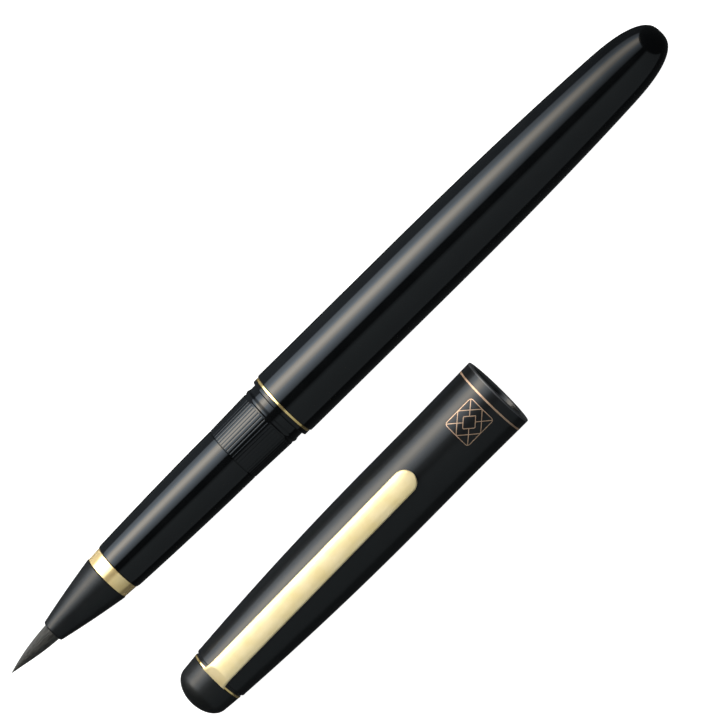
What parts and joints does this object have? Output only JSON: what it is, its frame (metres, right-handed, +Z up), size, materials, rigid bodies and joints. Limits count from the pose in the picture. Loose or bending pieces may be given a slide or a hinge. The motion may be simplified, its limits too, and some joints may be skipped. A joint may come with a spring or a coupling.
{
  "type": "calligraphy brush pen",
  "caption": "Round black cartridge brush pen, uncapped, with a fine tuft, gold bands and a screw joint, and its clip cap lying beside it",
  "frame": {"origin": "on the table plane, midway along and across pen and cap as they lie", "axes": "+X along the pen from the brush tip to the tail, +Y from the cap to the pen, +Z up from the table; the clip faces +Z"},
  "size_m": [0.1384, 0.0337, 0.0134],
  "materials": {
    "black_lacquer": "high gloss black, piano lacquer look",
    "satin_black": "satin moulded black",
    "gold_plate": "polished gold plating",
    "clip_gold": "pale gold plating, softly polished",
    "brass": "turned brass",
    "bristle": "dark synthetic bristle, ink stained",
    "wick_fibre": "bundled fibre, ink soaked",
    "white_resin": "natural moulded resin",
    "clear_resin": "translucent moulded resin",
    "seal_rubber": "matte rubber"
  },
  "bodies": {
    "barrel": {"barrel": "black_lacquer", "barrel_bush": "brass"},
    "ring": {"trim_ring": "gold_plate"},
    "front": {"grip": "black_lacquer", "front_band": "gold_plate", "nose_cone": "satin_black", "tuft_holder": "white_resin", "tuft_root": "bristle", "ink_wick": "wick_fibre", "collector": "satin_black", "feed_seal": "seal_rubber", "nipple": "white_resin"},
    "tuft": {"tuft_tip": "bristle"},
    "cartridge": {"cartridge_body": "clear_resin", "cartridge_seal": "seal_rubber", "cartridge_end": "clear_resin"},
    "cap": {"cap_shell": "black_lacquer", "inner_cap": "satin_black", "crown": "black_lacquer", "clip_ring": "gold_plate", "crown_nut": "brass"},
    "clip": {"clip": "clip_gold"}
  },
  "joints": [
    {"name": "front_draw", "type": "slide", "parent": "barrel", "child": "ring", "axis": [-1, 0, 0], "range_m": [0, 0.062]},
    {"name": "front_turn", "type": "hinge", "parent": "ring", "child": "front", "pos_m": [-0.01098, 0.01115, 0.00574], "axis": [1, 0, 0], "range_deg": [0, 1080]},
    {"name": "brush_bend", "type": "hinge", "parent": "front", "child": "tuft", "pos_m": [-0.06182, 0.01115, 0.00574], "axis": [0, 0, 1], "range_deg": [-30, 30], "stiffness_Nm_per_rad": 0.0013},
    {"name": "cartridge_pull", "type": "slide", "parent": "front", "child": "cartridge", "axis": [1, 0, 0], "range_m": [0, 0.01]},
    {"name": "cap_slide", "type": "slide", "parent": "barrel", "child": "cap", "axis": [-0.9999, -0.0157, 0], "range_m": [0, 0.058]},
    {"name": "clip_flex", "type": "hinge", "parent": "cap", "child": "clip", "pos_m": [-0.04671, -0.01097, 0.01117], "axis": [0.0157, -0.9999, 0], "range_deg": [0, 3], "stiffness_Nm_per_rad": 2}
  ]
}
